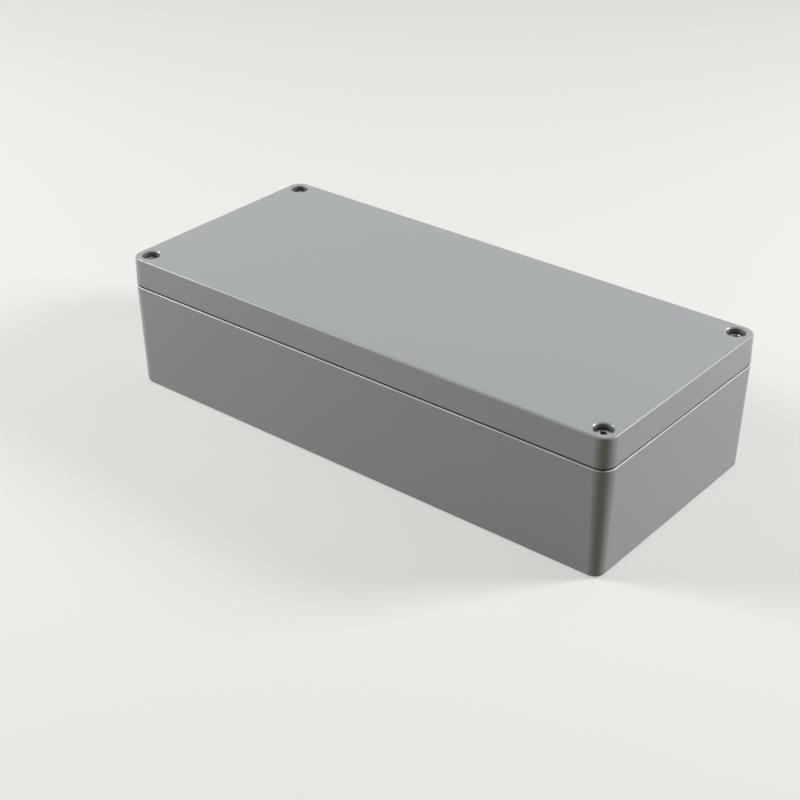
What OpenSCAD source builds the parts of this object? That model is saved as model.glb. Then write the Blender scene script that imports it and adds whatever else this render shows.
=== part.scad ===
// Sealed die-cast aluminium box: a deep base and a shallow lid, held by four captive corner screws.
// Both castings have drafted walls. Columns in the corners carry the lid screws and the wall fixings,
// and a tongue on the base presses a one-piece seal in the lid's groove, passing inside the columns.
// The origin is the centre of the foot, X runs along the length, Z is up, and all sizes are in mm.

/* [Box] */
// Length of the closed box at the seam
box_length = 360; // [280:5:420]
// Width of the closed box at the seam
box_width = 160; // [140:5:240]
// Height of the base, from the foot to the seam
base_h = 70; // [55:1:130]
// Height of the lid, from the seam to the top face
lid_h = 20; // [18:0.5:30]
// Radius of the upright corners at the seam
corner_r = 9; // [7:0.5:12]

/* [Castings] */
// Wall thickness at the seam
wall_t = 4.5; // [4.2:0.1:6]
// Thickness of the base's floor
floor_t = 4; // [3:0.5:7]
// Thickness of the lid's top plate
top_t = 3.5; // [2.5:0.5:5]
// How far each base wall leans in from the seam to the foot
base_draft = 2; // [0.5:0.1:2.5]
// How far each lid wall leans in from the seam to the top
lid_draft = 0.3; // [0.1:0.1:1]
// How far the walls inside the base close in from the seam to the floor
inner_draft = 1.2; // [0.4:0.1:2]
// Rounding of the edge around the foot
foot_r = 2.5; // [0.5:0.1:3.5]
// Rounding of the edge around the lid's top
top_r = 1.4; // [0.4:0.1:2.5]
// Rounding between the inner walls and the floor
floor_r = 4; // [1:0.5:5]
// Radius of the upright corners inside, at the seam
inner_r = 8; // [7:0.5:9]
// Radius of the columns' free edges, at the seam
column_r = 5; // [4:0.5:5.5]

/* [Seam] */
// Height of the shadow gap around the outside of the seam
gap_h = 1; // [0.4:0.1:2]
// Depth of the shadow gap
gap_d = 1; // [0.8:0.1:1.2]
// Rounding of both rims along the shadow gap
rim_r = 0.7; // [0.2:0.1:0.7]

/* [Seal] */
// Width of the tongue on the base
tongue_w = 1.6; // [1.2:0.1:1.8]
// Height of the tongue above the seam
tongue_h = 1.3; // [0.8:0.1:2]
// Step between the wall's inside and the tongue
tongue_step = 0.3; // [0.2:0.1:0.5]
// Depth of the groove in the lid
groove_depth = 4; // [3.5:0.1:5]
// Free space on each side of the tongue in the groove
groove_play = 0.8; // [0.5:0.1:0.8]
// Thickness of the lip between the groove and the lid's hollow
lip_t = 1.5; // [1.2:0.1:2]
// Clearance on each side of the seal in the groove
seal_play = 0.1; // [0.05:0.05:0.3]

/* [Lid screws] */
// Distance of each lid screw from the two nearest sides
screw_inset = 10; // [9.5:0.5:14]
// Thread diameter
screw_d = 6; // [5:1:6]
// Depth of the pocket that sinks the head
head_pocket_depth = 8; // [6:0.5:9]
// Diameter of the pocket
head_pocket_d = 11.4; // [11:0.1:12.4]
// Diameter of the head
head_d = 10; // [8.5:0.5:10.5]
// Height of the head
head_h = 4.5; // [3.5:0.5:5.5]
// Diameter of the plain neck below the head
neck_d = 4.7; // [3.8:0.1:4.8]
// Length of thread in the base when the lid is shut
thread_l = 7.5; // [6:0.5:9]
// Thickness of the web that the head clamps
web_t = 3; // [2.5:0.5:4]
// Diameter of the hole through the web
web_hole_d = 6.6; // [6.3:0.1:8]
// Radial running clearance of the thread in the base and of the washer on the neck
run_play = 0.1; // [0.05:0.01:0.1]
// Outer diameter of the retaining washer
washer_d = 9; // [8:0.1:9.2]
// Thickness of the retaining washer
washer_t = 1.5; // [1:0.1:2]
// Radial clearance of the washer in its pockets
washer_play = 0.3; // [0.2:0.1:0.4]
// Depth of the washer's recess in the base
recess_depth = 1; // [0.8:0.1:2]
// How far the washer's lower face is below the seam
washer_sink = 0.5; // [0.2:0.1:0.6]
// Depth of the threaded hole in the base
screw_hole_depth = 20; // [16:1:30]

/* [Wall fixings] */
// Distance between a lid screw and the wall fixing beside it, along the width
fixing_pitch = 15; // [13:0.5:20]
// Diameter of the through hole for the fixing screw
fixing_d = 6.5; // [4.5:0.1:7]
// Diameter of the deep pocket that its head drops through
fixing_pocket_d = 11; // [10:0.5:12]
// Thickness of metal under the fixing screw's head
fixing_land = 8; // [5:0.5:12]
// Thinnest metal between a pocket and the groove
column_skin = 1.8; // [1.4:0.1:3]
// Depth of the relief cored into the lid above each fixing
relief_depth = 14; // [8:0.5:14]

/* [Floor bosses] */
// Distance of each plate boss from the ends
boss_inset_x = 35; // [33:1:60]
// Distance of each plate boss from the sides
boss_inset_y = 22; // [20:1:35]
// Diameter of a boss at its top
boss_d = 9; // [8:0.5:12]
// Height of a boss above the floor
boss_h = 5; // [3:0.5:10]
// Diameter of the tapped hole in a plate boss
boss_hole_d = 4; // [3:0.5:5]
// Metal left under every tapped hole
hole_floor = 1.5; // [1:0.1:2]
// How much wider a boss is at its root, all round
boss_flare = 0.6; // [0.2:0.1:1]

/* [Earth terminals] */
// Distance of the earth terminals from the left end
earth_inset = 32; // [26:1:60]
// Diameter of an earth boss at its face
earth_boss_d = 12; // [10:0.5:14]
// Height of an earth boss
earth_boss_h = 6; // [4:0.5:9]
// Thread diameter of an earth screw
earth_d = 5; // [4:0.5:5]
// Length of an earth screw below its head
earth_l = 10; // [9:0.5:11]
// Diameter of an earth screw's head
earth_head_d = 9.2; // [8:0.2:9.4]
// Height of an earth screw's head
earth_head_h = 3.6; // [2.5:0.1:4.5]
// Radial clearance around an earth screw
earth_play = 0.1; // [0.05:0.05:0.2]
// Outer diameter of the spring washer
spring_d = 9; // [8:0.2:9.4]
// Thickness of the spring washer
spring_t = 1.3; // [0.8:0.1:1.6]
// Width of the cut across the spring washer
spring_cut = 0.8; // [0.4:0.1:1.2]
// Length of the clamp plate between its lips
clamp_l = 10; // [9.6:0.1:11]
// Width of the clamp plate
clamp_w = 11; // [9:0.5:12]
// Thickness of the clamp plate and its lips
clamp_t = 1.2; // [0.8:0.1:2]
// Height of the clamp's lips
lip_h = 2.6; // [1.5:0.1:4]

/* [Hidden] */
NUMBERS = [1, 2, 3, 4];

$fn = 48;
arc_steps = 6;

// How far a cut runs past the face that it opens
cut = 1;
// Least radius left beside a fillet, and least flat left between two roundings
least_r = 0.5;
least_flat = 0.2;
// A screw head's rounded shoulder: its radius and height as shares of the head's height, and its turn
shoulder_r = 0.25;
shoulder_z = 0.65;
shoulder_turn = 70;
// A cross recess: its span and blade as shares of the head's diameter, its depth as one of its height
recess_span = 0.62;
recess_blade = 0.15;
recess_reach = 0.65;
// Chamfer of a screw's tip, as a share of its diameter, and of a washer's edges, of its thickness
tip_chamfer = 0.15;
edge_chamfer = 0.2;
// Slant of the cut through a spring washer, in degrees
spring_slant = 25;

half_l = box_length / 2;
half_w = box_width / 2;
top_z = base_h + lid_h;

// The outsides: the groove and tongue are measured outwards from the inside of the base's wall
groove_in = tongue_step - groove_play;
groove_out = tongue_step + tongue_w + groove_play;
foot_fillet = min(foot_r, corner_r - base_draft - least_r);
top_fillet = min(top_r, corner_r - lid_draft - least_r);

// The corner columns cover both holes and leave metal between them and the groove
pocket_reach = max(fixing_pocket_d, washer_d + 2 * washer_play) / 2 + column_skin + groove_out;
column_l = screw_inset + pocket_reach;
column_w = screw_inset + fixing_pitch + pocket_reach;
bay_r = min(inner_r, column_l - wall_t - column_r - least_flat);
floor_fillet = min(floor_r, bay_r - inner_draft - least_r);
lid_inset = lip_t - groove_in;
lid_inner_draft = lid_draft;
lid_fillet = min(floor_r, bay_r - lid_inset - lid_inner_draft - least_r, lid_h - top_t - lid_inner_draft);

// The lid screws, numbered anticlockwise from the right rear corner
corners = [[1, 1], [-1, 1], [-1, -1], [1, -1]];
screw_x = half_l - screw_inset;
screw_y = half_w - screw_inset;
fixing_y = screw_y - fixing_pitch;
seat_z = top_z - head_pocket_depth;
washer_z = base_h - washer_sink;
washer_pocket_d = washer_d + 2 * washer_play;

// The floor bosses and the earth terminals
boss_x = half_l - boss_inset_x;
boss_y = half_w - boss_inset_y;
boss_top = floor_t + boss_h;
earth_x = earth_inset - half_l;
base_earth_z = floor_t + earth_boss_h;
lid_earth_z = top_z - top_t - earth_boss_h;

casting_grey = [0.64, 0.66, 0.68];
screw_steel = [0.72, 0.69, 0.64];
earth_brass = [0.8, 0.66, 0.36];
seal_black = [0.12, 0.12, 0.13];
nylon_white = [0.88, 0.87, 0.83];

// Points along an arc about a centre, with both ends
function arc(centre, r, from, to, steps = arc_steps) =
    [for (i = [0:steps]) let (a = from + (to - from) * i / steps) centre + r * [cos(a), sin(a)]];

function mirrored(points, sx, sy) =
    let (moved = [for (p = points) [sx * p.x, sy * p.y]])
    sx * sy > 0 ? moved : [for (i = [len(moved) - 1:-1:0]) moved[i]];

// Outline of the hollow, stepped round the four columns and moved inwards by an inset
function bay_corner(inset) = concat(
    arc([half_l - wall_t - bay_r, half_w - column_w - bay_r], bay_r - inset, 0, 90),
    arc([half_l - column_l + column_r, half_w - column_w + column_r], column_r + inset, 270, 180),
    arc([half_l - column_l - bay_r, half_w - wall_t - bay_r], bay_r - inset, 0, 90)
);
function bay(inset) = [for (c = corners) each mirrored(bay_corner(inset), c.x, c.y)];

// A solid through a list of [height, outline] rings with equally many points
module loft(rings) {
    n = len(rings[0][1]);
    last = len(rings) - 1;
    points = [for (r = rings, p = r[1]) [p.x, p.y, r[0]]];
    sides = [for (k = [0:last - 1], i = [0:n - 1])
        let (a = k * n + i, b = k * n + (i + 1) % n) [a, a + n, b + n, b]];
    floor_face = [for (i = [0:n - 1]) i];
    roof_face = [for (i = [n - 1:-1:0]) last * n + i];
    polyhedron(points, concat([floor_face, roof_face], sides));
}

// A hollow from its mouth to its bottom: it closes in by the draft and ends in a fillet
module hollow(mouth_z, bottom_z, inset, draft, fillet) {
    up = sign(mouth_z - bottom_z);
    depth = abs(mouth_z - bottom_z);
    bottom = [for (i = [0:arc_steps]) let (a = 90 * i / arc_steps)
        [bottom_z + up * fillet * (1 - cos(a)), bay(inset + draft + fillet * (1 - sin(a)))]];
    mouth = [[mouth_z, bay(inset)], [mouth_z + up * cut, bay(inset)]];
    rings = concat(bottom, mouth);
    loft(up > 0 ? rings : [for (i = [len(rings) - 1:-1:0]) rings[i]]);
}

// A band that follows the hollow's outline, between two distances outwards from it
module band(from, to, height) {
    linear_extrude(height) difference() {
        polygon(bay(-to));
        polygon(bay(-from));
    }
}

// Drafted block with rounded upright corners: its side runs up as [distance out from the corner's
// centre, height] points, and the same side is swept along both straights and round the corners
module rounded_block(side) {
    bottom = side[0].y;
    top = side[len(side) - 1].y;
    length = box_length - 2 * corner_r;
    width = box_width - 2 * corner_r;
    rotate([90, 0, 0]) linear_extrude(width, center = true) both_sides(length / 2, side);
    rotate([90, 0, 90]) linear_extrude(length, center = true) both_sides(width / 2, side);
    for (i = [0:3])
        translate([corners[i].x * length / 2, corners[i].y * width / 2, 0])
            rotate(90 * i) rotate_extrude(angle = 90) polygon(concat([[0, bottom]], side, [[0, top]]));
}

module both_sides(reach, side) {
    right = [for (p = side) [reach + p.x, p.y]];
    polygon(concat(right, [for (i = [len(side) - 1:-1:0]) [-right[i].x, right[i].y]]));
}

// Side of the base: the foot's fillet, the leaning wall, and the rounded rim below the shadow gap
function base_side() = concat(
    arc([corner_r - base_draft - foot_fillet, foot_fillet], foot_fillet, -90, 0),
    arc([corner_r - rim_r, base_h - rim_r], rim_r, 0, 90)
);

// Side of the lid: the set-back land, the rounded rim above the shadow gap, the wall and the top fillet
function lid_side() = concat(
    [[corner_r - gap_d, base_h], [corner_r - gap_d, base_h + gap_h]],
    arc([corner_r - rim_r, base_h + gap_h + rim_r], rim_r, -90, 0),
    arc([corner_r - lid_draft - top_fillet, top_z - top_fillet], top_fillet, 0, 90)
);

module at_corners(x, y) {
    for (c = corners) translate([c.x * x, c.y * y, 0]) children();
}

// A hole or rod between two heights
module round_bar(d, from, to) {
    translate([0, 0, from]) cylinder(d = d, h = to - from);
}

// A boss that stands on a casting and widens towards its root
module boss(d, h) {
    translate([0, 0, -cut]) cylinder(d1 = d + 2 * boss_flare, d2 = d, h = h + cut);
}

module base_casting() {
    color(casting_grey) difference() {
        union() {
            difference() {
                rounded_block(base_side());
                hollow(base_h, floor_t, 0, inner_draft, floor_fillet);
            }
            translate([0, 0, base_h - cut]) band(tongue_step, tongue_step + tongue_w, tongue_h + cut);
            at_corners(boss_x, boss_y) translate([0, 0, floor_t]) boss(boss_d, boss_h);
            translate([earth_x, 0, floor_t]) boss(earth_boss_d, earth_boss_h);
        }
        at_corners(screw_x, screw_y) {
            round_bar(screw_d + 2 * run_play, base_h - screw_hole_depth, base_h);
            round_bar(washer_pocket_d, base_h - recess_depth, base_h + cut);
        }
        at_corners(screw_x, fixing_y) {
            round_bar(fixing_d, -cut, fixing_land + cut);
            round_bar(fixing_pocket_d, fixing_land, base_h + cut);
        }
        at_corners(boss_x, boss_y) round_bar(boss_hole_d, hole_floor, boss_top + cut);
        translate([earth_x, 0, 0]) round_bar(earth_d + 2 * earth_play, hole_floor, base_earth_z + cut);
    }
}

module lid_casting() {
    color(casting_grey) difference() {
        union() {
            difference() {
                rounded_block(lid_side());
                hollow(base_h, top_z - top_t, lid_inset, lid_inner_draft, lid_fillet);
                translate([0, 0, base_h - cut]) band(groove_in, groove_out, groove_depth + cut);
            }
            translate([earth_x, 0, top_z - top_t]) mirror([0, 0, 1]) boss(earth_boss_d, earth_boss_h);
        }
        at_corners(screw_x, screw_y) {
            round_bar(head_pocket_d, seat_z, top_z + cut);
            translate([0, 0, top_z - rim_r])
                cylinder(d1 = head_pocket_d, d2 = head_pocket_d + 2 * (rim_r + cut), h = rim_r + cut);
            round_bar(web_hole_d, base_h, seat_z + cut);
            round_bar(washer_pocket_d, base_h - cut, seat_z - web_t);
        }
        at_corners(screw_x, fixing_y) round_bar(fixing_pocket_d, base_h - cut, base_h + relief_depth);
        translate([earth_x, 0, 0])
            round_bar(earth_d + 2 * earth_play, lid_earth_z - cut, top_z - hole_floor);
    }
}

module lid_gasket() {
    color(seal_black) translate([0, 0, base_h + tongue_h])
        band(groove_in + seal_play, groove_out - seal_play, groove_depth - tongue_h);
}

// Cross recess cut into the top of a head: two blades that taper to a point
module cross_recess(head_d, head_h) {
    span = recess_span * head_d;
    blade = recess_blade * head_d;
    depth = recess_reach * head_h;
    translate([0, 0, head_h - depth]) intersection() {
        cylinder(d1 = blade, d2 = span, h = depth);
        for (a = [0, 90]) rotate(a) translate([-span / 2, -blade / 2, 0]) cube([span, blade, depth]);
    }
}

// Cheese head that stands on the origin, with a rounded shoulder and a slightly raised top
function head_side(d, h) = concat(
    [[0, 0], [d / 2, 0]],
    arc([d / 2 - shoulder_r * h, shoulder_z * h], shoulder_r * h, 0, shoulder_turn),
    [[0, h]]
);

module lid_screw() {
    head_z = seat_z - washer_z;
    r = screw_d / 2;
    chamfer = tip_chamfer * screw_d;
    color(screw_steel) translate([0, 0, washer_z]) difference() {
        union() {
            rotate_extrude() polygon([
                [0, -thread_l], [r - chamfer, -thread_l], [r, chamfer - thread_l], [r, 0],
                [neck_d / 2, 0], [neck_d / 2, head_z + cut], [0, head_z + cut]
            ]);
            translate([0, 0, head_z]) rotate_extrude() polygon(head_side(head_d, head_h));
        }
        translate([0, 0, head_z]) cross_recess(head_d, head_h);
    }
}

module screw_washer() {
    r = washer_d / 2;
    edge = edge_chamfer * washer_t;
    hole_r = neck_d / 2 + run_play;
    color(nylon_white) translate([0, 0, washer_z]) rotate_extrude() polygon([
        [hole_r, 0], [r - edge, 0], [r, edge], [r, washer_t - edge], [r - edge, washer_t], [hole_r, washer_t]
    ]);
}

// The pieces of an earth terminal stand on the face of their boss, and the lid's hang from it
module at_earth(half) {
    if (half == "base") translate([earth_x, 0, base_earth_z]) children();
    else translate([earth_x, 0, lid_earth_z]) mirror([0, 0, 1]) children();
}

module earth_clamp() {
    outer = clamp_l / 2 + clamp_t;
    inner = clamp_l / 2;
    color(earth_brass) difference() {
        rotate([90, 0, 0]) linear_extrude(clamp_w, center = true) polygon([
            [-outer, 0], [outer, 0], [outer, lip_h], [inner, lip_h],
            [inner, clamp_t], [-inner, clamp_t], [-inner, lip_h], [-outer, lip_h]
        ]);
        round_bar(earth_d + 2 * earth_play, -cut, clamp_t + cut);
    }
}

module earth_spring_washer() {
    color(screw_steel) translate([0, 0, clamp_t]) difference() {
        cylinder(d = spring_d, h = spring_t);
        round_bar(earth_d + 2 * earth_play, -cut, spring_t + cut);
        translate([spring_d / 2, 0, spring_t / 2]) rotate([spring_slant, 0, 0])
            cube([spring_d - earth_d + cut, spring_cut, 2 * spring_t + cut], center = true);
    }
}

module earth_screw() {
    head_z = clamp_t + spring_t;
    color(screw_steel) translate([0, 0, head_z]) difference() {
        union() {
            round_bar(earth_d, -earth_l, cut);
            rotate_extrude() polygon(head_side(earth_head_d, earth_head_h));
        }
        cross_recess(earth_head_d, earth_head_h);
    }
}

base_casting();
lid_casting();
lid_gasket();
for (i = NUMBERS) {
    place = [corners[i - 1].x * screw_x, corners[i - 1].y * screw_y, 0];
    translate(place) lid_screw();
    translate(place) screw_washer();
}
for (half = ["base", "lid"]) {
    at_earth(half) earth_screw();
    at_earth(half) earth_spring_washer();
    at_earth(half) earth_clamp();
}
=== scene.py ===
"""Dresses a sealed die-cast box: coated castings, seal, captive lid screws, earth terminals and stage."""

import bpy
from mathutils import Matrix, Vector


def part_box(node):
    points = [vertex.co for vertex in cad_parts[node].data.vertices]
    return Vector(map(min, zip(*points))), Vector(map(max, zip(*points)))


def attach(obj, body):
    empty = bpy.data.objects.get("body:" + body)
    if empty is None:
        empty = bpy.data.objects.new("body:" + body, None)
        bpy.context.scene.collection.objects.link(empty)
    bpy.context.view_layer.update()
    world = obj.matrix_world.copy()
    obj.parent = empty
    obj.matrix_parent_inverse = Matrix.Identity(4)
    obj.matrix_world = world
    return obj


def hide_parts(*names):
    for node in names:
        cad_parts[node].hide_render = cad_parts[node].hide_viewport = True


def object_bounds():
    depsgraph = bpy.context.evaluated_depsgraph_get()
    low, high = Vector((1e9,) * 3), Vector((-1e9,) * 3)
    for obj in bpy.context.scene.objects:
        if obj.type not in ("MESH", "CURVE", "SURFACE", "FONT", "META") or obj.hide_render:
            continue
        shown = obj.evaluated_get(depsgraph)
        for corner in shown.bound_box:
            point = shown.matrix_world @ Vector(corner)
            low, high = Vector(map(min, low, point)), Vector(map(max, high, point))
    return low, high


bl_info = {
    "name": "Die-cast aluminium box",
    "version": (1, 0, 0),
    "blender": (4, 5, 0),
    "location": "3D View > Sidebar > Box",
    "description": "Coats the castings of a sealed box and makes its screws, earth terminals and stage",
    "category": "Object",
}

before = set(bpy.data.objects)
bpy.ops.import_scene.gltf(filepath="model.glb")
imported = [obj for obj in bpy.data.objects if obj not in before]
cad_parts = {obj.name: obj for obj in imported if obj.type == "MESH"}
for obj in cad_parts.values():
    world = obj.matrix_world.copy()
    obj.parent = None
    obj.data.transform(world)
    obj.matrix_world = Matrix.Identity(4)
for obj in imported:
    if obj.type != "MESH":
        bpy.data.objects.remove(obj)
cad_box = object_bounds()

import math

import bmesh
import bpy
from bpy.props import FloatProperty, FloatVectorProperty, IntProperty, PointerProperty
from mathutils import Matrix, Vector

MM = 0.001
NEAR = 0.01 * MM

# Each corner's signs, with the angle in degrees at which its screw's cross came to rest.
CORNERS = (((1, 1), -12), ((-1, 1), 33), ((-1, -1), 58), ((1, -1), -5))
EARTH_TURN = 31

LID_CROWN = 0.45 * MM
EARTH_CROWN = 0.3 * MM
THREAD_DEPTH = 0.6134       # depth of a metric thread as a share of its pitch
LID_POCKET_DEPTH = 8.2 * MM
# Colour of the painted shade deep in the screws' cross recesses.
RECESS_SHADE = (0.02, 0.017, 0.015)

# Noise scales, in features per metre; the first breaks up the painted edge highlight and the last the painted
# shade in the screw recesses.
HIGHLIGHT_PATCHES = 60.0
OVERSPRAY_RAGS = 70.0
GLOSS_PATCHES = 45.0
SHADE_PATCHES = 900.0

# Each lamp's name, place and size in metres, and what all of them point at.
LAMPS = (("overhead", (-0.15, 0.3, 1.5), (1.3, 1.0)),
         ("left", (-1.35, -0.8, 0.95), (0.7, 0.5)),
         ("right", (1.15, 1.0, 0.87), (0.5, 0.45)))
LAMP_AIM = (0, 0, 0.05)


def length(name, description, default):
    return FloatProperty(name=name, description=description, default=default, min=0, precision=5,
                         unit="LENGTH")


def share(name, description, default):
    return FloatProperty(name=name, description=description, default=default, min=0, max=1,
                         subtype="FACTOR")


def strength(name, description, default):
    return FloatProperty(name=name, description=description, default=default, min=0)


def colour(name, description, default):
    return FloatVectorProperty(name=name, description=description, default=default, size=3, min=0, max=1,
                               subtype="COLOR")


class CoatingSettings(bpy.types.PropertyGroup):
    coat_colour: colour("Coat", "Colour of the grey powder coat", (0.325, 0.343, 0.352))
    coat_rough: share("Roughness", "Roughness of the coat", 0.34)
    peel_size: length("Peel size", "Width of the coat's fine waves", 1.5 * MM)
    peel_depth: length("Peel depth", "Depth of the coat's fine waves", 0.01 * MM)
    metal_colour: colour("Metal", "Colour of the bare casting inside", (0.52, 0.52, 0.51))
    metal_rough: share("Metal roughness", "Roughness of the bare casting", 0.46)
    overspray: length("Overspray", "How far the coat reaches into the box from the seam", 9 * MM)
    # Painted highlight: the coat along the rims is lightened where their roundings catch the lamps.
    wear: share("Wear", "How strongly the painted highlight lightens the edges", 0.8)
    highlight_colour: colour("Highlight colour", "Colour of the painted highlight on the edges", (0.75, 0.75, 0.74))
    # Painted shade deep in the screws' pockets.
    pocket_shade_colour: colour("Pocket shade", "Colour of the dust deep in the screws' pockets", (0.05, 0.053, 0.065))
    # Painted shade: the gap above the seam is coloured near black.
    gap: length("Gap", "Height of the dark gap above the seam", 1 * MM)
    gap_shade_colour: colour("Grime", "Colour of the dark gap", (0.012, 0.012, 0.013))


class ScrewSettings(bpy.types.PropertyGroup):
    steel_colour: colour("Steel", "Colour of the plated screws", (0.62, 0.55, 0.46))
    steel_rough: share("Roughness", "Roughness of the plated screws", 0.3)
    head_h: length("Head", "Height of a lid screw's head up to its crown", 5.2 * MM)
    seat: length("Seat", "Height of the seats of the lid screws above the foot", 82 * MM)
    neck_r: length("Neck radius", "Radius of the plain neck", 2.35 * MM)
    thread_r: length("Thread radius", "Outer radius of the thread", 3 * MM)
    thread_l: length("Thread length", "Length of the thread", 7.5 * MM)
    pitch: length("Pitch", "Rise of the thread in one turn", 1 * MM)
    recess_span: share("Recess span", "Span of the cross as a share of the head's width", 0.62)
    recess_blade: share("Recess blade", "Width of the cross's blades as a share of the head's width", 0.16)
    recess_reach: share("Recess depth", "Depth of the cross as a share of the head's height", 0.7)
    segments: IntProperty(name="Segments", description="Faces round a screw", default=64, min=24, max=128)


class EarthSettings(bpy.types.PropertyGroup):
    brass_colour: colour("Brass", "Colour of the clamps", (0.66, 0.46, 0.17))
    head_h: length("Head", "Height of an earth screw's head", 3.5 * MM)
    thread_r: length("Thread radius", "Outer radius of an earth screw's thread", 2.5 * MM)
    pitch: length("Pitch", "Rise of an earth screw's thread in one turn", 0.8 * MM)
    plate_t: length("Plate", "Thickness of a clamp's plate and lips", 1.2 * MM)
    plate_hole_r: length("Plate hole", "Radius of the hole in a clamp's plate", 2.6 * MM)


class StageSettings(bpy.types.PropertyGroup):
    floor_colour: colour("Floor", "Colour of the floor where light falls on it", (0.39, 0.385, 0.37))
    floor_glow: colour("Floor glow", "Least brightness that the floor shows", (0.42, 0.415, 0.4))
    floor_bounce: colour("Floor bounce", "Colour of the light that the floor throws on the box",
                         (0.22, 0.16, 0.105))
    room_colour: colour("Room", "Colour of the room behind the floor", (0.86, 0.86, 0.84))
    ambient: strength("Ambient", "Strength of the light from all round", 0.05)
    overhead: strength("Overhead", "Power of the overhead lamp in watts", 3)
    left: strength("Left", "Power of the left lamp in watts", 31)
    right: strength("Right", "Power of the right lamp in watts", 29)
    camera_place: FloatVectorProperty(name="Camera", description="Place of the camera", size=3, unit="LENGTH",
                                      default=(0.5486, -0.7036, 0.5267))
    camera_turn: FloatVectorProperty(name="Camera turn", description="Turn of the camera", size=3,
                                     subtype="EULER", default=(math.radians(60.12), 0, math.radians(39.12)))
    lens: FloatProperty(name="Lens", description="Focal length of the camera in millimetres",
                        default=73.57, min=1)


class BoxSettings(bpy.types.PropertyGroup):
    coating: PointerProperty(type=CoatingSettings)
    screws: PointerProperty(type=ScrewSettings)
    earth: PointerProperty(type=EarthSettings)
    stage: PointerProperty(type=StageSettings)


# ---------------------------------------------------------------- node helpers

def add_node(tree, kind, inputs=None, **settings):
    """One shader node; a link is made where an input is given a socket."""
    made = tree.nodes.new("ShaderNode" + kind)
    for key, value in settings.items():
        setattr(made, key, value)
    for key, value in (inputs or {}).items():
        if isinstance(value, bpy.types.NodeSocket):
            tree.links.new(value, made.inputs[key])
        else:
            made.inputs[key].default_value = value
    return made


def maths(tree, operation, *values, clamp=False):
    """A Math node's result."""
    made = add_node(tree, "Math", dict(enumerate(values)), operation=operation, use_clamp=clamp)
    return made.outputs[0]


def ramp(tree, value, low, high, at_low=0.0, at_high=1.0):
    """A smooth step between two values."""
    made = add_node(tree, "MapRange", {"Value": value, "From Min": low, "From Max": high,
                                       "To Min": at_low, "To Max": at_high},
                    interpolation_type="SMOOTHSTEP")
    return made.outputs["Result"]


def distance(tree, *sides):
    """The length of a flat vector, from its two sides."""
    squares = [maths(tree, "MULTIPLY", side, side) for side in sides]
    return maths(tree, "SQRT", maths(tree, "ADD", *squares))


def noise(tree, where, scale, detail, **more):
    """The value of a Noise texture."""
    inputs = {"Vector": where, "Scale": scale, "Detail": detail, **more}
    return add_node(tree, "TexNoise", inputs).outputs["Fac"]


def mixed(tree, factor, first, second):
    """A colour between two colours."""
    made = add_node(tree, "Mix", {"Factor": factor}, data_type="RGBA")
    for key, value in (("A", first), ("B", second)):
        socket = next(s for s in made.inputs if s.name == key and s.type == "RGBA")
        if isinstance(value, bpy.types.NodeSocket):
            tree.links.new(value, socket)
        else:
            socket.default_value = (*value, 1)[:4]
    return next(s for s in made.outputs if s.type == "RGBA")


def scaled_colour(tree, tint, factor):
    """A colour made lighter or darker by a value near one."""
    made = add_node(tree, "VectorMath", {0: tint, 1: factor}, operation="MULTIPLY")
    return made.outputs[0]


def new_group(name, inputs, outputs):
    """A shader node group with float inputs and outputs, and its input and output nodes."""
    tree = bpy.data.node_groups.new(name, "ShaderNodeTree")
    for key, default in inputs.items():
        socket = tree.interface.new_socket(key, in_out="INPUT", socket_type="NodeSocketFloat")
        socket.default_value = default
    for key in outputs:
        tree.interface.new_socket(key, in_out="OUTPUT", socket_type="NodeSocketFloat")
    return tree, tree.nodes.new("NodeGroupInput"), tree.nodes.new("NodeGroupOutput")


def placed(tree, name, **values):
    """A node group placed in a material with its own values."""
    made = tree.nodes.new("ShaderNodeGroup")
    made.node_tree = bpy.data.node_groups[name]
    for key, value in values.items():
        socket = made.inputs[key.replace("_", " ")]
        if isinstance(value, bpy.types.NodeSocket):
            tree.links.new(value, socket)
        else:
            socket.default_value = value
    return made.outputs


def new_material(name):
    """A material with its Principled shader and its node tree."""
    made = bpy.data.materials.new(name)
    made.use_nodes = True
    return made, made.node_tree, made.node_tree.nodes["Principled BSDF"]


def seen_directly(tree):
    """One for the camera and for what is mirrored or seen through glass, nought for light that falls."""
    path = add_node(tree, "LightPath").outputs
    seen = maths(tree, "MAXIMUM", path["Is Camera Ray"], path["Is Glossy Ray"])
    return maths(tree, "MAXIMUM", seen, path["Is Transmission Ray"])


def bump(tree, shader, height, distance):
    """Feeds a height, in parts of the distance, to the shader's normal."""
    made = add_node(tree, "Bump", {"Height": height, "Distance": distance, "Strength": 1.0})
    tree.links.new(made.outputs[0], shader.inputs["Normal"])


# ---------------------------------------------------------------- shared effects

def make_cloud_group():
    """Tone: a value near one that drifts over the surface in soft clouds and fine specks."""
    tree, given, out = new_group("Cloudy tone", {"Clouds": 12, "Cloud depth": 0.03, "Specks": 1500,
                                                 "Speck depth": 0.03}, ["Tone"])
    where = add_node(tree, "TexCoord").outputs["Object"]
    total = 1.0
    for scale, depth in (("Clouds", "Cloud depth"), ("Specks", "Speck depth")):
        swing = maths(tree, "SUBTRACT", noise(tree, where, given.outputs[scale], 3), 0.5)
        total = maths(tree, "ADD", total, maths(tree, "MULTIPLY", swing, given.outputs[depth]))
    tree.links.new(total, out.inputs["Tone"])


def make_peel_group():
    """Height: the soft waves of a sprayed coat with its finer grain."""
    tree, given, out = new_group("Coat peel", {"Wave size": 1.4 * MM, "Grain share": 0.25}, ["Height"])
    where = add_node(tree, "TexCoord").outputs["Object"]
    scale = maths(tree, "DIVIDE", 1.0, given.outputs["Wave size"])
    waves = noise(tree, where, scale, 1.5)
    grain = noise(tree, where, maths(tree, "MULTIPLY", scale, 4.0), 2)
    grain = maths(tree, "MULTIPLY", grain, given.outputs["Grain share"])
    tree.links.new(maths(tree, "ADD", waves, grain), out.inputs["Height"])


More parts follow.
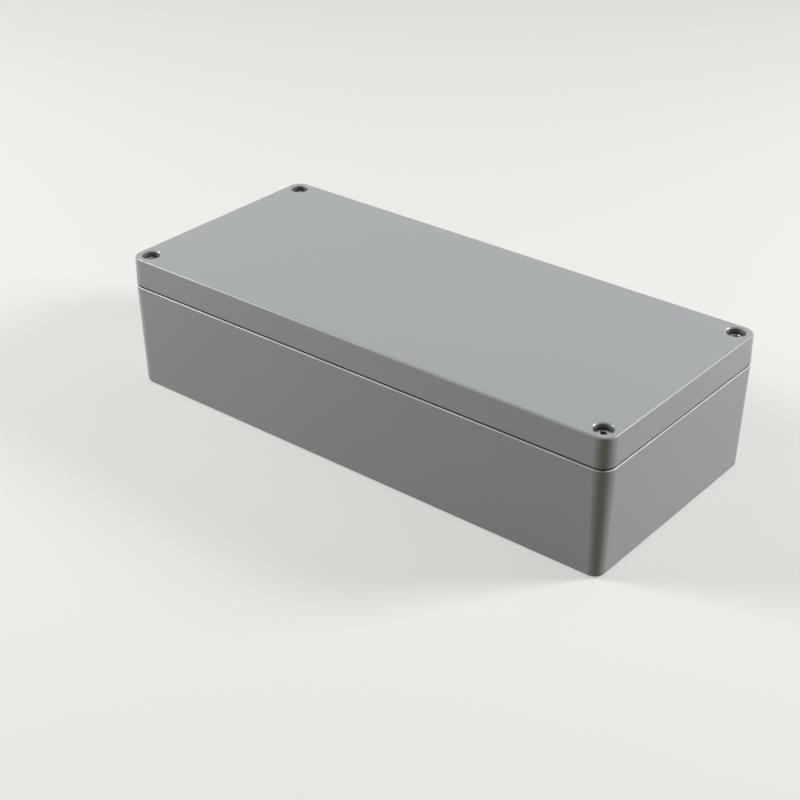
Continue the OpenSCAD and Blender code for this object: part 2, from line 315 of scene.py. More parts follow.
def make_inset_group():
    """Inset: how far a place lies inside the box's rounded outline. Height: how far up it lies."""
    tree, given, out = new_group("Inset from outline", {"Half length": 0.18, "Half width": 0.08,
                                                        "Corner radius": 9 * MM}, ["Inset", "Height"])
    axis = add_node(tree, "SeparateXYZ", {0: add_node(tree, "TexCoord").outputs["Object"]}).outputs
    beyond = []
    for i, half in ((0, "Half length"), (1, "Half width")):
        core = maths(tree, "SUBTRACT", given.outputs[half], given.outputs["Corner radius"])
        over = maths(tree, "SUBTRACT", maths(tree, "ABSOLUTE", axis[i]), core)
        beyond.append(maths(tree, "MAXIMUM", over, 0.0))
    inset = maths(tree, "SUBTRACT", given.outputs["Corner radius"], distance(tree, *beyond))
    tree.links.new(inset, out.inputs["Inset"])
    tree.links.new(axis[2], out.inputs["Height"])


def inset_from(tree, given):
    """Inset and Height in a group that is itself given the outline's halves."""
    return placed(tree, "Inset from outline", Half_length=given.outputs["Half length"],
                  Half_width=given.outputs["Half width"])


def make_seam_shade_group():
    """Mask: painted shade, one in the shadow gap along the seam, where it makes the gap black."""
    tree, given, out = new_group("Seam grime", {
        "Half length": 0.18, "Half width": 0.08, "Low": 0.0699, "High": 0.0711, "Start": 0.45 * MM,
        "End": 1.3 * MM}, ["Mask"])
    place = inset_from(tree, given)
    inset, height = place["Inset"], place["Height"]
    deep = ramp(tree, inset, given.outputs["Start"], maths(tree, "ADD", given.outputs["Start"], 0.25 * MM))
    mask = maths(tree, "MULTIPLY", deep, maths(tree, "LESS_THAN", inset, given.outputs["End"]))
    mask = maths(tree, "MULTIPLY", mask, maths(tree, "GREATER_THAN", height, given.outputs["Low"]))
    mask = maths(tree, "MULTIPLY", mask, maths(tree, "LESS_THAN", height, given.outputs["High"]))
    tree.links.new(mask, out.inputs["Mask"])


def make_edge_highlight_group():
    """Mask: a patchy painted highlight in a narrow band along an edge that stands at one height of the
    outline.
    """
    tree, given, out = new_group("Edge wear", {
        "Half length": 0.18, "Half width": 0.08, "Edge": 0.07, "Band": 0.4 * MM, "Reach": 0.8 * MM,
        "Patchiness": 0.5}, ["Mask"])
    place = inset_from(tree, given)
    off = maths(tree, "ABSOLUTE", maths(tree, "SUBTRACT", place["Height"], given.outputs["Edge"]))
    near = ramp(tree, maths(tree, "DIVIDE", off, given.outputs["Band"]), 0.5, 1.0, 1.0, 0.0)
    outer = maths(tree, "LESS_THAN", place["Inset"], given.outputs["Reach"])
    near = maths(tree, "MULTIPLY", near, outer)
    where = add_node(tree, "TexCoord").outputs["Object"]
    patches = ramp(tree, noise(tree, where, HIGHLIGHT_PATCHES, 4), 0.35, 0.65)
    patchy_part = maths(tree, "MULTIPLY", patches, given.outputs["Patchiness"])
    keep = maths(tree, "ADD", maths(tree, "SUBTRACT", 1.0, given.outputs["Patchiness"]), patchy_part)
    tree.links.new(maths(tree, "MULTIPLY", near, keep), out.inputs["Mask"])


def make_bare_group():
    """Mask: one where a casting is bare, inside its walls and beyond the overspray. Pocket: painted shade,
    which rises to one deep in the screws' pockets; the pockets stay coated."""
    tree, given, out = new_group(
        "Bare inside",
        {"Half length": 0.18, "Half width": 0.08, "Wall": 4.55 * MM, "Seam": 0.07, "Far face": 0.0,
         "Overspray": 0.01, "Pocket X": 0.17, "Pocket Y": 0.07, "Pocket radius": 0.0063,
         "Pocket depth": 0.0},
        ["Mask", "Pocket"])
    where = add_node(tree, "TexCoord").outputs["Object"]
    axis = add_node(tree, "SeparateXYZ", {0: where}).outputs
    along, across = maths(tree, "ABSOLUTE", axis[0]), maths(tree, "ABSOLUTE", axis[1])
    inside = maths(tree, "GREATER_THAN", inset_from(tree, given)["Inset"], given.outputs["Wall"])
    from_seam = maths(tree, "ABSOLUTE", maths(tree, "SUBTRACT", axis[2], given.outputs["Seam"]))
    from_far = maths(tree, "ABSOLUTE", maths(tree, "SUBTRACT", axis[2], given.outputs["Far face"]))
    ragged = maths(tree, "ADD", noise(tree, where, OVERSPRAY_RAGS, 4), 0.5)
    reach = maths(tree, "MULTIPLY", given.outputs["Overspray"], ragged)
    clear = ramp(tree, maths(tree, "DIVIDE", from_seam, reach), 0.45, 1.25)
    inside = maths(tree, "MULTIPLY", inside, clear)
    inside = maths(tree, "MULTIPLY", inside, maths(tree, "GREATER_THAN", from_far, 1 * MM))
    away = distance(tree, maths(tree, "SUBTRACT", along, given.outputs["Pocket X"]),
                    maths(tree, "SUBTRACT", across, given.outputs["Pocket Y"]))
    pocket = maths(tree, "MULTIPLY", maths(tree, "LESS_THAN", away, given.outputs["Pocket radius"]),
                   maths(tree, "LESS_THAN", from_far, given.outputs["Pocket depth"]))
    bare = maths(tree, "MULTIPLY", inside, maths(tree, "SUBTRACT", 1.0, pocket))
    # Painted shade, growing from 0.4 mm to 1.3 mm below the lid's top face inside each screw pocket.
    pocket_shade = maths(tree, "MULTIPLY", pocket, ramp(tree, from_far, 0.4 * MM, 1.3 * MM))
    tree.links.new(bare, out.inputs["Mask"])
    tree.links.new(pocket_shade, out.inputs["Pocket"])


def make_cast_group():
    """Height and Tone: the pitted, flow-marked skin of a raw casting with its round ejector marks."""
    tree, given, out = new_group("Cast skin", {"Grain size": 0.9 * MM, "Mark spacing": 58 * MM,
                                               "Mark radius": 3.5 * MM}, ["Height", "Tone"])
    coords = add_node(tree, "TexCoord")
    where = coords.outputs["Object"]
    scale = maths(tree, "DIVIDE", 1.0, given.outputs["Grain size"])
    grain = noise(tree, where, scale, 4, Roughness=0.65)
    stretched = add_node(tree, "Mapping", {"Vector": where, "Scale": (9, 55, 30)}).outputs[0]
    flow = noise(tree, stretched, 1.0, 5, Distortion=1.2)
    axis = add_node(tree, "SeparateXYZ", {0: where}).outputs
    upright = add_node(tree, "SeparateXYZ", {0: coords.outputs["Normal"]}).outputs[2]
    level = maths(tree, "GREATER_THAN", maths(tree, "ABSOLUTE", upright), 0.95)
    half = maths(tree, "MULTIPLY", given.outputs["Mark spacing"], 0.5)
    offset = [maths(tree, "SUBTRACT", maths(tree, "PINGPONG", axis[i], given.outputs["Mark spacing"]), half)
              for i in (0, 1)]
    gone = maths(tree, "DIVIDE", distance(tree, *offset), given.outputs["Mark radius"])
    rim = maths(tree, "SUBTRACT", ramp(tree, gone, 0.9, 1.0), ramp(tree, gone, 1.0, 1.1))
    rim = maths(tree, "MULTIPLY", rim, level)
    height = maths(tree, "ADD", maths(tree, "MULTIPLY", flow, 0.6), grain)
    tree.links.new(maths(tree, "ADD", height, maths(tree, "MULTIPLY", rim, 2.5)), out.inputs["Height"])
    tone = maths(tree, "ADD", 0.8, maths(tree, "MULTIPLY", flow, 0.4))
    tone = maths(tree, "SUBTRACT", tone, maths(tree, "MULTIPLY", rim, 0.15))
    tree.links.new(tone, out.inputs["Tone"])


def make_turned_group():
    """Height: fine rings round an upright axis. Painted shade: darker deeper below a head's crown, most in
    its cross recess.
    """
    tree, given, out = new_group("Turned marks", {
        "Axis X": 0.17, "Axis Y": 0.07, "Crown top": 0.087, "Crown height": LID_CROWN,
        "Head radius": 5 * MM, "Recess share": 0.66, "Recess depth": 4 * MM,
        "Ring width": 0.12 * MM}, ["Height", "Grime"])
    where = add_node(tree, "TexCoord").outputs["Object"]
    axis = add_node(tree, "SeparateXYZ", {0: where}).outputs
    side = maths(tree, "SUBTRACT", maths(tree, "ABSOLUTE", axis[0]), given.outputs["Axis X"])
    across = maths(tree, "SUBTRACT", maths(tree, "ABSOLUTE", axis[1]), given.outputs["Axis Y"])
    away = distance(tree, side, across)
    scaled = [maths(tree, "DIVIDE", value, given.outputs["Ring width"]) for value in (away, axis[2])]
    along = add_node(tree, "CombineXYZ", {0: scaled[0], 1: scaled[1], 2: 0.0})
    rings = noise(tree, along.outputs[0], 1.0, 2)
    part = maths(tree, "DIVIDE", away, given.outputs["Head radius"])
    fall = maths(tree, "MULTIPLY", maths(tree, "MULTIPLY", part, part), given.outputs["Crown height"])
    depth = maths(tree, "ABSOLUTE", maths(tree, "SUBTRACT", axis[2], given.outputs["Crown top"]))
    depth = maths(tree, "SUBTRACT", depth, fall)
    recess = maths(tree, "MULTIPLY", maths(tree, "LESS_THAN", part, given.outputs["Recess share"]),
                   maths(tree, "LESS_THAN", depth, given.outputs["Recess depth"]))
    # Painted shade: darker with depth below the crown, in patches, and strongest in the cross recess.
    patchy = maths(tree, "ADD", 0.5, noise(tree, where, SHADE_PATCHES, 3))
    painted_shade = maths(tree, "MULTIPLY", ramp(tree, depth, 0.1 * MM, 0.8 * MM), patchy, clamp=True)
    painted_shade = maths(tree, "MULTIPLY", painted_shade, maths(tree, "ADD", 0.3, maths(tree, "MULTIPLY", recess, 0.7)))
    tree.links.new(rings, out.inputs["Height"])
    tree.links.new(painted_shade, out.inputs["Grime"])


# ---------------------------------------------------------------- materials

def coated_casting(name, seam, far_face, pocket_depth, dark, lit_edge):
    """Satin powder coat outside and raw die-cast metal inside, for one casting.

    dark is how far in the painted shade of the gap starts and how much further up it reaches than its set
    height, and the last argument is the height of an edge that gets a painted highlight and its share of it.
    """
    settings = bpy.context.scene.die_cast_box.coating
    made, tree, shader = new_material(name)
    half = [(hi - lo) / 2 for lo, hi in zip(*cad_box)]
    inside = placed(tree, "Bare inside", Half_length=half[0], Half_width=half[1], Seam=seam,
                    Far_face=far_face, Overspray=settings.overspray, Pocket_depth=pocket_depth)
    # Painted shade in the lid's screw pockets, at 0.8 of its full strength.
    bare, pocket = inside["Mask"], maths(tree, "MULTIPLY", inside["Pocket"], 0.8)
    # Painted shade that makes the gap above the seam black.
    painted_shade = placed(tree, "Seam grime", Half_length=half[0], Half_width=half[1], Low=seam - 0.1 * MM,
                   Start=dark[0], High=seam + settings.gap + dark[1])["Mask"]
    # Painted highlight: a lighter, patchy coat along one rim.
    wear = placed(tree, "Edge wear", Half_length=half[0], Half_width=half[1], Edge=lit_edge[0],
                  Patchiness=0.4)["Mask"]
    wear = maths(tree, "MULTIPLY", wear, settings.wear * lit_edge[1])
    clouds = placed(tree, "Cloudy tone")["Tone"]
    cast = placed(tree, "Cast skin")
    coat = scaled_colour(tree, tuple(settings.coat_colour), clouds)
    # The coat, lightened by the painted highlight and darkened by the painted shade in the pockets and the
    # gap.
    coat = mixed(tree, wear, coat, tuple(settings.highlight_colour))
    coat = mixed(tree, pocket, coat, tuple(settings.pocket_shade_colour))
    coat = mixed(tree, painted_shade, coat, tuple(settings.gap_shade_colour))
    metal = scaled_colour(tree, tuple(settings.metal_colour), cast["Tone"])
    tree.links.new(mixed(tree, bare, coat, metal), shader.inputs["Base Color"])
    tree.links.new(maths(tree, "MULTIPLY", bare, 0.92), shader.inputs["Metallic"])
    swing = 0.06
    patches = noise(tree, add_node(tree, "TexCoord").outputs["Object"], GLOSS_PATCHES, 2)
    coat_rough = maths(tree, "ADD", settings.coat_rough - swing / 2, maths(tree, "MULTIPLY", patches, swing))
    coat_rough = maths(tree, "ADD", coat_rough, maths(tree, "MULTIPLY", painted_shade, 0.4))
    rough = add_node(tree, "Mix", {"Factor": bare, "A": coat_rough, "B": settings.metal_rough})
    tree.links.new(rough.outputs["Result"], shader.inputs["Roughness"])
    peel = placed(tree, "Coat peel", Wave_size=settings.peel_size)["Height"]
    cast_height = maths(tree, "MULTIPLY", cast["Height"], 3.0)
    height = add_node(tree, "Mix", {"Factor": bare, "A": peel, "B": cast_height})
    bump(tree, shader, height.outputs["Result"], settings.peel_depth)
    return made


def plated_steel(name, crown, head_r, head_h):
    """Warm plated steel with turned rings and painted shade in the recess, for screws whose crown is at one
    height.
    """
    settings = bpy.context.scene.die_cast_box.screws
    made, tree, shader = new_material(name)
    turned = placed(tree, "Turned marks", Axis_X=abs(crown.x), Axis_Y=abs(crown.y), Crown_top=crown.z,
                    Head_radius=head_r, Recess_depth=0.8 * head_h)
    tone = placed(tree, "Cloudy tone", Clouds=350, Cloud_depth=0.35, Specks=6000, Speck_depth=0.2)["Tone"]
    steel = scaled_colour(tree, tuple(settings.steel_colour), tone)
    # Painted shade towards the bottom of the head's recess.
    tree.links.new(mixed(tree, turned["Grime"], steel, RECESS_SHADE), shader.inputs["Base Color"])
    tree.links.new(maths(tree, "SUBTRACT", 1.0, maths(tree, "MULTIPLY", turned["Grime"], 0.6)),
                   shader.inputs["Metallic"])
    tree.links.new(maths(tree, "ADD", settings.steel_rough, maths(tree, "MULTIPLY", turned["Grime"], 0.35)),
                   shader.inputs["Roughness"])
    bump(tree, shader, turned["Height"], 0.006 * MM)
    return made


def plain_finish(name, tint, rough, metallic, clouds, cloud_depth, grain, depth, **levels):
    """A finish of one material with a drifting tone and a fine grain."""
    made, tree, shader = new_material(name)
    tone = placed(tree, "Cloudy tone", Clouds=clouds, Cloud_depth=cloud_depth, Specks=4000,
                  Speck_depth=0.05)["Tone"]
    tree.links.new(scaled_colour(tree, tint, tone), shader.inputs["Base Color"])
    tree.links.new(maths(tree, "MULTIPLY", rough, tone), shader.inputs["Roughness"])
    shader.inputs["Metallic"].default_value = metallic
    for key, value in levels.items():
        shader.inputs[key.replace("_", " ")].default_value = value
    bump(tree, shader, placed(tree, "Coat peel", Wave_size=grain, Grain_share=0.6)["Height"], depth)
    return made


def finish_node(name, material):
    """Gives a CAD node's slots a material."""
    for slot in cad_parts[name].material_slots:
        slot.material = material


# ---------------------------------------------------------------- modelling helpers

def select_only(piece):
    """Makes one object the selected and active one."""
    bpy.ops.object.select_all(action="DESELECT")
    piece.select_set(True)
    bpy.context.view_layer.objects.active = piece


def pick(piece, kind, test):
    """In edit mode, selects the vertices, edges or faces that pass a test, and nothing else."""
    bpy.ops.mesh.select_mode(type={"verts": "VERT", "edges": "EDGE", "faces": "FACE"}[kind])
    bpy.ops.mesh.select_all(action="DESELECT")
    mesh = bmesh.from_edit_mesh(piece.data)
    for part in getattr(mesh, kind):
        part.select_set(test(part))
    mesh.select_flush_mode()
    bmesh.update_edit_mesh(piece.data)


def middle(part):
    """The middle of an edge or a face."""
    return sum((v.co for v in part.verts), Vector()) / len(part.verts)


def profile_line(name, points):
    """A line of (radius, height) points in the XZ plane, extruded from one corner of a plane."""
    bpy.ops.object.select_all(action="DESELECT")
    bpy.ops.mesh.primitive_plane_add(size=1)
    piece = bpy.context.object
    piece.name = name
    bpy.ops.object.mode_set(mode="EDIT")
    pick(piece, "verts", lambda v: v.index != 0)
    bpy.ops.mesh.delete(type="VERT")
    bpy.ops.mesh.select_all(action="SELECT")
    start = bmesh.from_edit_mesh(piece.data).verts
    start.ensure_lookup_table()
    here = start[0].co.copy()
    bpy.ops.transform.translate(value=Vector((points[0][0], 0, points[0][1])) - here)
    for (r0, z0), (r1, z1) in zip(points, points[1:]):
        bpy.ops.mesh.extrude_vertices_move(TRANSFORM_OT_translate={"value": (r1 - r0, 0, z1 - z0)})
    return piece


def turned(name, points, segments):
    """A solid turned round Z from a half profile that starts and ends on the axis."""
    piece = profile_line(name, points)
    bpy.ops.mesh.select_all(action="SELECT")
    bpy.ops.mesh.spin(steps=segments, angle=math.tau, center=(0, 0, 0), axis=(0, 0, 1))
    bpy.ops.mesh.select_all(action="SELECT")
    bpy.ops.mesh.remove_doubles(threshold=0.001 * MM)
    bpy.ops.mesh.normals_make_consistent(inside=False)
    bpy.ops.object.mode_set(mode="OBJECT")
    return piece


def combined(piece, tool, operation):
    """Joins, cuts or intersects a piece with a tool, which is used up."""
    select_only(piece)
    bpy.ops.object.modifier_add(type="BOOLEAN")
    boolean = piece.modifiers[-1]
    boolean.operation, boolean.solver, boolean.object = operation, "EXACT", tool
    bpy.ops.object.modifier_apply(modifier=boolean.name)
    bpy.data.objects.remove(tool, do_unlink=True)
    return piece


def threaded_rod(name, radius, pitch, low, high, segments):
    """A threaded rod between two heights, chamfered at both ends."""
    depth = THREAD_DEPTH * pitch
    root, flat, crest = radius - depth, pitch / 4, pitch / 8
    flank = (pitch - flat - crest) / 2
    turns = math.ceil((high - low) / pitch) + 4
    rod = profile_line(name, [(root, 0), (root, flat), (radius, flat + flank),
                              (radius, flat + flank + crest), (root, pitch)])
    bpy.ops.mesh.select_all(action="SELECT")
    bpy.ops.transform.translate(value=(0, 0, low - 2 * pitch))
    bpy.ops.object.mode_set(mode="OBJECT")
    bpy.ops.object.modifier_add(type="SCREW")
    screw = rod.modifiers[-1]
    screw.axis, screw.angle, screw.screw_offset, screw.iterations = "Z", math.tau, pitch, turns
    screw.steps = screw.render_steps = segments
    screw.use_merge_vertices, screw.merge_threshold = True, 0.001 * MM
    bpy.ops.object.modifier_apply(modifier=screw.name)
    bpy.ops.object.mode_set(mode="EDIT")
    for height, above in ((low - 0.5 * pitch, False), (high + 0.5 * pitch, True)):
        bpy.ops.mesh.select_all(action="SELECT")
        bpy.ops.mesh.bisect(plane_co=(0, 0, height), plane_no=(0, 0, 1), use_fill=True,
                            clear_inner=not above, clear_outer=above, threshold=0.0001 * MM)
    bpy.ops.mesh.select_all(action="SELECT")
    bpy.ops.mesh.normals_make_consistent(inside=False)
    bpy.ops.object.mode_set(mode="OBJECT")
    outer = radius + NEAR
    envelope = turned("envelope", [(0, low), (root - 0.3 * depth, low), (outer, low + 1.3 * depth),
                                   (outer, high - 0.6 * depth), (root + 0.3 * depth, high), (0, high)],
                      segments)
    return combined(rod, envelope, "INTERSECT")


def cross_blade(name, span, width, depth, turn):
    """One blade of a driver's cross, point down from the origin, narrowed towards its tip."""
    bpy.ops.object.select_all(action="DESELECT")
    bpy.ops.mesh.primitive_cube_add(size=1)
    blade = bpy.context.object
    blade.name = name
    over = 0.5 * MM
    bpy.ops.object.mode_set(mode="EDIT")
    bpy.ops.transform.resize(value=(span, width, depth + over))
    bpy.ops.transform.translate(value=(0, 0, (over - depth) / 2))
    pick(blade, "faces", lambda f: f.normal.z < -0.5)
    bpy.ops.transform.resize(value=(0.3, 0.55, 1), center_override=(0, 0, 0))
    bpy.ops.object.mode_set(mode="OBJECT")
    blade.data.transform(Matrix.Rotation(turn, 4, "Z"))
    return blade


def recessed_head(name, radius, height, crown, segments):
    """A cheese head that stands on the origin, with a rounded shoulder, a crown and a cross recess."""
    settings = bpy.context.scene.die_cast_box.screws
    fillet, side = 0.1 * height, height - crown
    shoulder = [(radius - fillet + fillet * math.cos(a), side - fillet + fillet * math.sin(a))
                for a in (math.radians(d) for d in range(0, 76, 15))]
    dome = [(radius * part, side + crown * (1 - part ** 2)) for part in (0.85, 0.65, 0.45, 0.25, 0)]
    head = turned(name, [(0, 0), (radius - 0.15 * MM, 0), (radius, 0.15 * MM), *shoulder, *dome], segments)
    width, above = 2 * radius, height + 0.5 * MM
    for turn in (0, math.pi / 2):
        blade = cross_blade("blade", settings.recess_span * width, settings.recess_blade * width,
                            settings.recess_reach * height, turn)
        blade.data.transform(Matrix.Translation((0, 0, height)))
        combined(head, blade, "DIFFERENCE")
    bit = turned("bit", [(0, above), (0.36 * radius, above), (0.3 * radius, height - 0.2 * height),
                         (0.12 * radius, height - 0.68 * height), (0, height - 0.74 * height)], 8)
    return combined(head, bit, "DIFFERENCE")


def finished(piece, name, material, body, node):
    """Smooths a modelled piece, gives it its finish, and puts it in place of its CAD node."""
    piece.name = piece.data.name = name
    select_only(piece)
    bpy.ops.object.shade_smooth_by_angle(angle=math.radians(32))
    piece.data.materials.clear()
    piece.data.materials.append(material)
    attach(piece, body)
    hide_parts(node)


def copied(piece, matrix):
    """A copy of a piece with its own mesh, which is moved by the matrix."""
    select_only(piece)
    bpy.ops.object.duplicate()
    twin = bpy.context.object
    twin.data.transform(matrix)
    return twin


# ---------------------------------------------------------------- operators

class BOX_OT_prepare_effects(bpy.types.Operator):
    """Makes the node groups that the finishes share"""
    bl_idname = "box.prepare_effects"
    bl_label = "Prepare effects"

    def execute(self, context):
        make_cloud_group()
        make_peel_group()
        make_inset_group()
        make_seam_shade_group()
        make_edge_highlight_group()
        make_bare_group()
        make_cast_group()
        make_turned_group()
        return {"FINISHED"}


class BOX_OT_coat_castings(bpy.types.Operator):
    """Coats the base and the lid outside and leaves them bare inside"""
    bl_idname = "box.coat_castings"
    bl_label = "Coat castings"

    def execute(self, context):
        low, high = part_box("lid_casting")
        # The base gets the full painted highlight along its seam rim and the lid a tenth of it along its top
        # edge; both get painted shade in the gap.
        base = coated_casting("coated base", seam=low.z, far_face=0.0, pocket_depth=0.0,
                              dark=(0.5 * MM, 0.1 * MM), lit_edge=(low.z - 0.25 * MM, 1.0))
        lid = coated_casting("coated lid", seam=low.z, far_face=high.z, pocket_depth=LID_POCKET_DEPTH,
                             dark=(0.02 * MM, 0.5 * MM), lit_edge=(high.z - 0.4 * MM, 0.1))
        finish_node("base_casting", base)
        finish_node("lid_casting", lid)
        return {"FINISHED"}


class BOX_OT_finish_seals(bpy.types.Operator):
    """Finishes the rubber seal, the nylon washers and the spring washers"""
    bl_idname = "box.finish_seals"
    bl_label = "Finish seals and washers"

    def execute(self, context):
        rubber = plain_finish("seal rubber", (0.018, 0.018, 0.019), rough=0.62, metallic=0.0, clouds=90,
                              cloud_depth=0.25, grain=0.5 * MM, depth=0.02 * MM)
        nylon = plain_finish("nylon", (0.78, 0.76, 0.7), rough=0.42, metallic=0.0, clouds=200,
                             cloud_depth=0.06, grain=0.8 * MM, depth=0.004 * MM,
                             Subsurface_Weight=0.15, Subsurface_Scale=1 * MM)
        spring = plain_finish("spring steel", (0.42, 0.41, 0.4), rough=0.34, metallic=1.0, clouds=300,
                              cloud_depth=0.3, grain=0.2 * MM, depth=0.004 * MM)
        finish_node("lid_gasket", rubber)
        for number in range(1, len(CORNERS) + 1):
            finish_node(f"screw_washer_{number}", nylon)
        for half in ("base", "lid"):
            finish_node(f"{half}_earth_spring_washer", spring)
        return {"FINISHED"}


class BOX_OT_make_lid_screws(bpy.types.Operator):
    """Models one captive lid screw and puts a copy in each corner"""
    bl_idname = "box.make_lid_screws"
    bl_label = "Make lid screws"

    def execute(self, context):
        settings = context.scene.die_cast_box.screws
        low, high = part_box("lid_screw_1")
        centre, radius = (low + high) / 2, (high.x - low.x) / 2
        seat, shoulder = settings.seat, low.z + settings.thread_l
        top = seat + settings.head_h
        screw = recessed_head("screw", radius, settings.head_h, LID_CROWN, settings.segments)
        screw.data.transform(Matrix.Translation((0, 0, seat)))
        neck = turned("neck", [(0, shoulder - 1 * MM), (settings.neck_r, shoulder - 1 * MM),
                               (settings.neck_r, seat + 0.5 * MM), (0, seat + 0.5 * MM)], settings.segments)
        combined(screw, neck, "UNION")
        rod = threaded_rod("thread", settings.thread_r, settings.pitch, low.z, shoulder, settings.segments)
        combined(screw, rod, "UNION")
        steel = plated_steel("plated steel", Vector((centre.x, centre.y, top)), radius, settings.head_h)
        for number, ((sx, sy), angle) in enumerate(CORNERS, 1):
            turn = Matrix.Rotation(math.radians(angle), 4, "Z")
            place = Matrix.Translation((sx * abs(centre.x), sy * abs(centre.y), 0))
            finished(copied(screw, place @ turn), f"lid_screw_{number}_detailed", steel, f"screw_{number}",
                     f"lid_screw_{number}")
        bpy.data.objects.remove(screw, do_unlink=True)
        return {"FINISHED"}


class BOX_OT_make_earth_terminals(bpy.types.Operator):
    """Models the earth screws and their saddle clamps in the base and the lid"""
    bl_idname = "box.make_earth_terminals"
    bl_label = "Make earth terminals"

    def execute(self, context):
        box = context.scene.die_cast_box
        settings = box.earth
        low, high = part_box("base_earth_screw")
        centre, radius = (low + high) / 2, (high.y - low.y) / 2
        seat = high.z - settings.head_h
        screw = recessed_head("earth screw", radius, settings.head_h, EARTH_CROWN, box.screws.segments)
        screw.data.transform(Matrix.Translation((0, 0, seat)))
        rod = threaded_rod("thread", settings.thread_r, settings.pitch, low.z, seat + 0.5 * settings.pitch,
                           box.screws.segments)
        combined(screw, rod, "UNION")
        plate_low, plate_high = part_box("base_earth_clamp")
        clamp = self.clamp(settings, plate_high - plate_low)
        brass = plain_finish("earth brass", tuple(settings.brass_colour), rough=0.3, metallic=1.0,
                             clouds=220, cloud_depth=0.3, grain=0.3 * MM, depth=0.004 * MM)
        turn = Matrix.Rotation(math.radians(EARTH_TURN), 4, "Z")
        for half in ("base", "lid"):
            screw_low, screw_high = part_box(f"{half}_earth_screw")
            crown = Vector((centre.x, centre.y, screw_high.z if half == "base" else screw_low.z))
            steel = plated_steel(f"{half} earth steel", crown, radius, settings.head_h)
            for piece, node, finish, slot, foot in (
                    (screw, f"{half}_earth_screw", steel, "screw_steel", low.z),
                    (clamp, f"{half}_earth_clamp", brass, "earth_brass", plate_low.z)):
                matrix = self.seated(node, half, centre, foot)
                if piece is screw:
                    matrix = matrix @ turn
                finished(copied(piece, matrix), f"{node}_detailed", finish, half, node)
        for piece in (screw, clamp):
            bpy.data.objects.remove(piece, do_unlink=True)
        return {"FINISHED"}

    def seated(self, node, half, centre, foot):
        """Takes a piece that stands at foot to its node's place, upside down in the lid."""
        low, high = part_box(node)
        if half == "base":
            return Matrix.Translation((centre.x, centre.y, low.z - foot))
        flip = Matrix.Diagonal((1, -1, -1, 1)) @ Matrix.Translation((0, 0, -foot))
        return Matrix.Translation((centre.x, centre.y, high.z)) @ flip

    def clamp(self, settings, size):
        """A saddle clamp with rounded bends, standing where the base's clamp stands."""
        low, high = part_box("base_earth_clamp")
        plate, lip = settings.plate_t, high.z - low.z
        bpy.ops.object.select_all(action="DESELECT")
        bpy.ops.mesh.primitive_cube_add(size=1)
        clamp = bpy.context.object
        bpy.ops.object.mode_set(mode="EDIT")
        bpy.ops.transform.resize(value=(size.x, size.y, plate))
        bpy.ops.transform.translate(value=(0, 0, low.z + plate / 2))
        for side in (-1, 1):
            bpy.ops.mesh.select_all(action="SELECT")
            bpy.ops.mesh.bisect(plane_co=(side * (size.x / 2 - plate), 0, 0), plane_no=(1, 0, 0),
                                threshold=0.0001 * MM)
        pick(clamp, "faces", lambda f: f.normal.z > 0.5 and abs(middle(f).x) > size.x / 2 - plate)
        bpy.ops.mesh.extrude_region_move(TRANSFORM_OT_translate={"value": (0, 0, lip - plate)})
        pick(clamp, "edges", lambda e: all(abs(v.co.z - low.z) < NEAR for v in e.verts)
             and abs(middle(e).y) < 0.1 * MM and abs(abs(middle(e).x) - size.x / 2) < NEAR)
        bpy.ops.mesh.bevel(offset=0.9 * plate, segments=5, affect="EDGES")
        bpy.ops.object.mode_set(mode="OBJECT")
        select_only(clamp)
        bpy.ops.object.modifier_add(type="BEVEL")
        bevel = clamp.modifiers[-1]
        bevel.width, bevel.segments, bevel.limit_method = 0.15 * MM, 2, "ANGLE"
        bpy.ops.object.modifier_apply(modifier=bevel.name)
        hole_r, under, over = settings.plate_hole_r, low.z - 1 * MM, low.z + plate + 1 * MM
        hole = turned("hole", [(0, under), (hole_r, under), (hole_r, over), (0, over)], 48)
        return combined(clamp, hole, "DIFFERENCE")


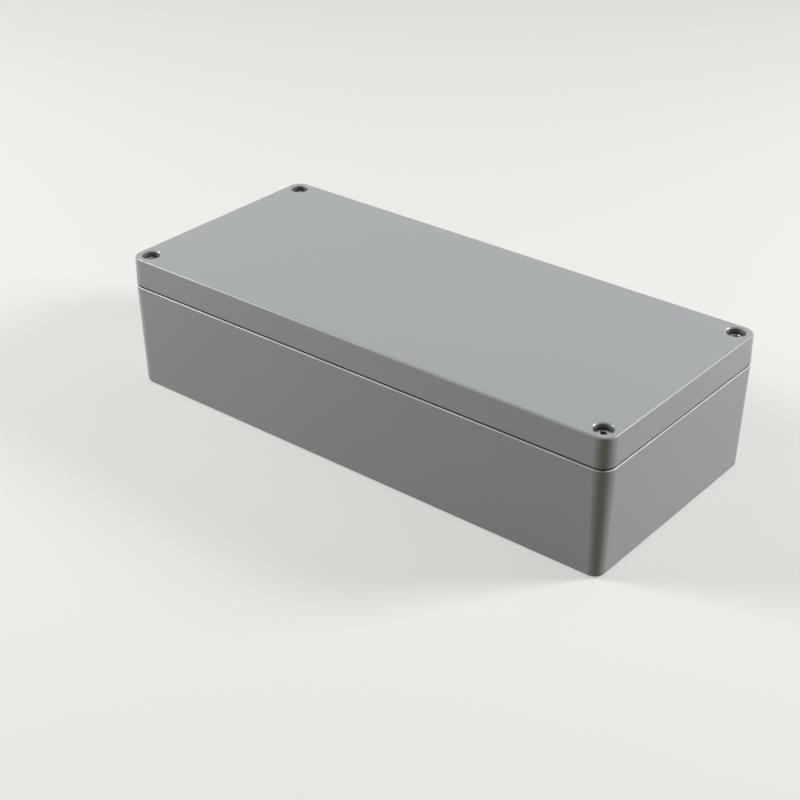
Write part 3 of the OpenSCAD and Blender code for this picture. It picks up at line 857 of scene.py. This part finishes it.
class BOX_OT_set_stage(bpy.types.Operator):
    """Sets the floor, the lamps and the camera"""
    bl_idname = "box.set_stage"
    bl_label = "Set stage"

    def execute(self, context):
        settings = context.scene.die_cast_box.stage
        self.floor(settings)
        self.background(settings)
        for name, place, size in LAMPS:
            towards = Vector(LAMP_AIM) - Vector(place)
            bpy.ops.object.light_add(type="AREA", location=place,
                                     rotation=towards.to_track_quat("-Z", "Y").to_euler())
            lamp = context.object
            lamp.name = f"{name} lamp"
            lamp.data.shape, lamp.data.size, lamp.data.size_y = "RECTANGLE", *size
            lamp.data.energy = getattr(settings, name)
        bpy.ops.object.camera_add(location=settings.camera_place, rotation=settings.camera_turn)
        camera = context.object
        camera.data.lens, camera.data.sensor_width = settings.lens, 36
        camera.data.clip_start, camera.data.clip_end = 0.01, 50
        context.scene.camera = camera
        context.scene.view_settings.view_transform = "Standard"
        return {"FINISHED"}

    def floor(self, settings):
        """A pale floor, seen from above only, that throws less light on the box than it shows."""
        bpy.ops.mesh.primitive_plane_add(size=12, location=(0, 0, -0.1 * MM))
        floor = bpy.context.object
        floor.name = "floor"
        made, tree, shader = new_material("pale floor")
        seen = seen_directly(tree)
        tint = mixed(tree, seen, tuple(settings.floor_bounce), tuple(settings.floor_colour))
        tree.links.new(tint, shader.inputs["Base Color"])
        shader.inputs["Roughness"].default_value = 0.9
        shader.inputs["Specular IOR Level"].default_value = 0.1
        shader.inputs["Emission Color"].default_value = (*settings.floor_glow, 1)
        tree.links.new(seen, shader.inputs["Emission Strength"])
        under = add_node(tree, "MixShader", {
            0: add_node(tree, "NewGeometry").outputs["Backfacing"], 1: shader.outputs[0],
            2: add_node(tree, "BsdfTransparent").outputs[0]})
        tree.links.new(under.outputs[0], tree.nodes["Material Output"].inputs["Surface"])
        floor.data.materials.append(made)

    def background(self, settings):
        """A dim world that the camera and reflections see as a pale room."""
        world = bpy.data.worlds.new("pale room")
        bpy.context.scene.world = world
        world.use_nodes = True
        tree = world.node_tree
        tree.nodes.clear()
        light = add_node(tree, "Background", {"Color": (0.95, 0.98, 1, 1), "Strength": settings.ambient})
        view = add_node(tree, "Background", {"Color": (*settings.room_colour, 1), "Strength": 1.0})
        mix = add_node(tree, "MixShader", {0: seen_directly(tree), 1: light.outputs[0], 2: view.outputs[0]})
        out = add_node(tree, "OutputWorld")
        tree.links.new(mix.outputs[0], out.inputs["Surface"])


class BOX_PT_panel(bpy.types.Panel):
    """Lists the steps that dress the box"""
    bl_label = "Die-cast box"
    bl_idname = "BOX_PT_panel"
    bl_space_type = "VIEW_3D"
    bl_region_type = "UI"
    bl_category = "Box"

    def draw(self, context):
        for step in STEPS:
            self.layout.operator(step.bl_idname)
        for name, group in (("coating", CoatingSettings), ("screws", ScrewSettings),
                            ("earth", EarthSettings), ("stage", StageSettings)):
            column = self.layout.box().column()
            column.label(text=name.capitalize())
            for key in group.__annotations__:
                column.prop(getattr(context.scene.die_cast_box, name), key)


SETTINGS = (CoatingSettings, ScrewSettings, EarthSettings, StageSettings, BoxSettings)
STEPS = (BOX_OT_prepare_effects, BOX_OT_coat_castings, BOX_OT_finish_seals, BOX_OT_make_lid_screws,
         BOX_OT_make_earth_terminals, BOX_OT_set_stage)


def register():
    for made in (*SETTINGS, *STEPS, BOX_PT_panel):
        bpy.utils.register_class(made)
    bpy.types.Scene.die_cast_box = PointerProperty(type=BoxSettings)


def unregister():
    del bpy.types.Scene.die_cast_box
    for made in (BOX_PT_panel, *reversed(STEPS), *reversed(SETTINGS)):
        bpy.utils.unregister_class(made)


def main():
    """Registers the steps and runs each of them to dress the box."""
    register()
    for step in STEPS:
        group, name = step.bl_idname.split(".")
        getattr(getattr(bpy.ops, group), name)()


if __name__ == "__main__":
    main()
